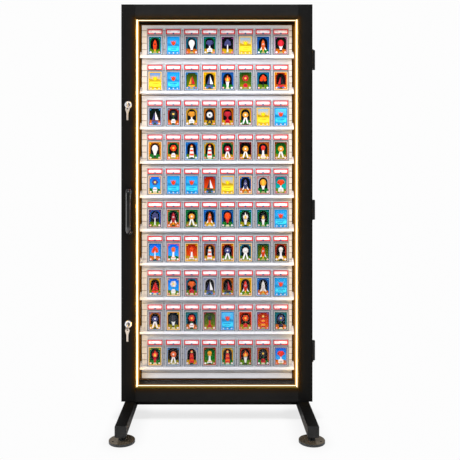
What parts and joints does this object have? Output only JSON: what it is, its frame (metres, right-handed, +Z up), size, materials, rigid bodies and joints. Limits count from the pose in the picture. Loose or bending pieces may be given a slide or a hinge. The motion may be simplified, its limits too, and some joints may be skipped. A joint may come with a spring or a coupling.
{
  "type": "trading card display case",
  "caption": "Floor-standing lockable display case with a glazed door, lit surround, slatted back, shelves of card slabs and levelling feet.",
  "frame": {"origin": "on the floor, at the centre of the case's footprint", "axes": "+Z up, the door faces -Y, +X to the right seen from the front"},
  "size_m": [0.942, 0.736, 1.976],
  "materials": {
    "black_paint": "matt black powder coat",
    "black_hardware": "satin black plated steel",
    "black_gloss": "gloss black",
    "black_plastic": "moulded black nylon",
    "bronze_steel": "dull bronze-grey plated steel",
    "zinc_steel": "zinc plated",
    "chrome": "polished chrome",
    "key_brass": "nickel-silver, warm",
    "white_board": "white laminated board",
    "white_acrylic": "white satin acrylic",
    "slab_plastic": "clear rigid plastic over a printed card",
    "aluminium": "anodised",
    "led_strip": "white flexible circuit with LEDs",
    "opal_diffuser": "opal, lit warm white",
    "lead_sheath": "PVC sheath",
    "black_rubber": "EPDM",
    "door_glass": "clear toughened glass"
  },
  "bodies": {
    "case": {"back_sheet": "black_paint", "base_cross_tube": "black_paint", "base_tube_left": "black_paint", "base_tube_right": "black_paint", "bottom_beam": "black_paint", "card_slabs": "slab_plastic", "case_screws": "zinc_steel", "door_seal": "black_rubber", "foot_lock_nuts": "black_hardware", "hinge_case_leaves": "black_hardware", "hinge_pins": "black_hardware", "led_channels": "aluminium", "led_diffusers": "opal_diffuser", "led_driver": "black_plastic", "led_leads": "lead_sheath", "led_strips": "led_strip", "lock_strikes": "zinc_steel", "panel_rails": "black_paint", "post_left": "black_paint", "post_right": "black_paint", "power_inlet": "black_plastic", "shelf_01": "white_acrylic", "shelf_02": "white_acrylic", "shelf_03": "white_acrylic", "shelf_04": "white_acrylic", "shelf_05": "white_acrylic", "shelf_06": "white_acrylic", "shelf_07": "white_acrylic", "shelf_08": "white_acrylic", "shelf_09": "white_acrylic", "shelf_10": "white_acrylic", "shelf_screws": "zinc_steel", "slat_panel": "white_board", "top_beam": "black_paint", "tube_end_caps": "black_plastic", "tube_inserts": "zinc_steel"},
    "door": {"stile_left": "black_paint", "stile_right": "black_paint", "rail_top": "black_paint", "rail_bottom": "black_paint", "door_glass": "door_glass", "glazing_gasket": "black_rubber", "glazing_beads": "black_plastic", "door_handle": "black_gloss", "door_screws": "zinc_steel", "hinge_door_leaves": "black_hardware", "lock_bodies": "chrome", "lock_nuts": "zinc_steel"},
    "foot_front_left": {"levelling_foot_front_left": "bronze_steel"},
    "foot_front_right": {"levelling_foot_front_right": "bronze_steel"},
    "foot_rear_left": {"levelling_foot_rear_left": "bronze_steel"},
    "foot_rear_right": {"levelling_foot_rear_right": "bronze_steel"},
    "lock_upper": {"lock_plug_upper": "chrome", "lock_cam_upper": "zinc_steel"},
    "key_upper": {"key_upper": "key_brass"},
    "spare_key_upper": {"spare_key_upper": "key_brass"},
    "lock_lower": {"lock_plug_lower": "chrome", "lock_cam_lower": "zinc_steel"},
    "key_lower": {"key_lower": "key_brass"},
    "spare_key_lower": {"spare_key_lower": "key_brass"}
  },
  "joints": [
    {"name": "door_swing", "type": "hinge", "parent": "case", "child": "door", "pos_m": [0.4635, -0.046, 1.032], "axis": [0, 0, 1], "range_deg": [0, 120]},
    {"name": "lock_turn_upper", "type": "hinge", "parent": "door", "child": "lock_upper", "pos_m": [-0.4207, -0.06, 1.498], "axis": [0, 1, 0], "range_deg": [0, 90]},
    {"name": "key_pull_upper", "type": "slide", "parent": "lock_upper", "child": "key_upper", "axis": [0, -1, 0], "range_m": [0, 0.032]},
    {"name": "spare_key_swing_upper", "type": "hinge", "parent": "key_upper", "child": "spare_key_upper", "pos_m": [-0.4207, -0.105, 1.496], "axis": [-1, 0, 0], "range_deg": [-12, 50]},
    {"name": "lock_turn_lower", "type": "hinge", "parent": "door", "child": "lock_lower", "pos_m": [-0.4207, -0.06, 0.4566], "axis": [0, 1, 0], "range_deg": [0, 90]},
    {"name": "key_pull_lower", "type": "slide", "parent": "lock_lower", "child": "key_lower", "axis": [0, -1, 0], "range_m": [0, 0.032]},
    {"name": "spare_key_swing_lower", "type": "hinge", "parent": "key_lower", "child": "spare_key_lower", "pos_m": [-0.4207, -0.105, 0.4546], "axis": [-1, 0, 0], "range_deg": [-12, 50]},
    {"name": "foot_adjust_front_left", "type": "slide", "parent": "case", "child": "foot_front_left", "axis": [0, 0, -1], "range_m": [-0.007, 0.012]},
    {"name": "foot_adjust_front_right", "type": "slide", "parent": "case", "child": "foot_front_right", "axis": [0, 0, -1], "range_m": [-0.007, 0.012]},
    {"name": "foot_adjust_rear_left", "type": "slide", "parent": "case", "child": "foot_rear_left", "axis": [0, 0, -1], "range_m": [-0.007, 0.012]},
    {"name": "foot_adjust_rear_right", "type": "slide", "parent": "case", "child": "foot_rear_right", "axis": [0, 0, -1], "range_m": [-0.007, 0.012]}
  ]
}
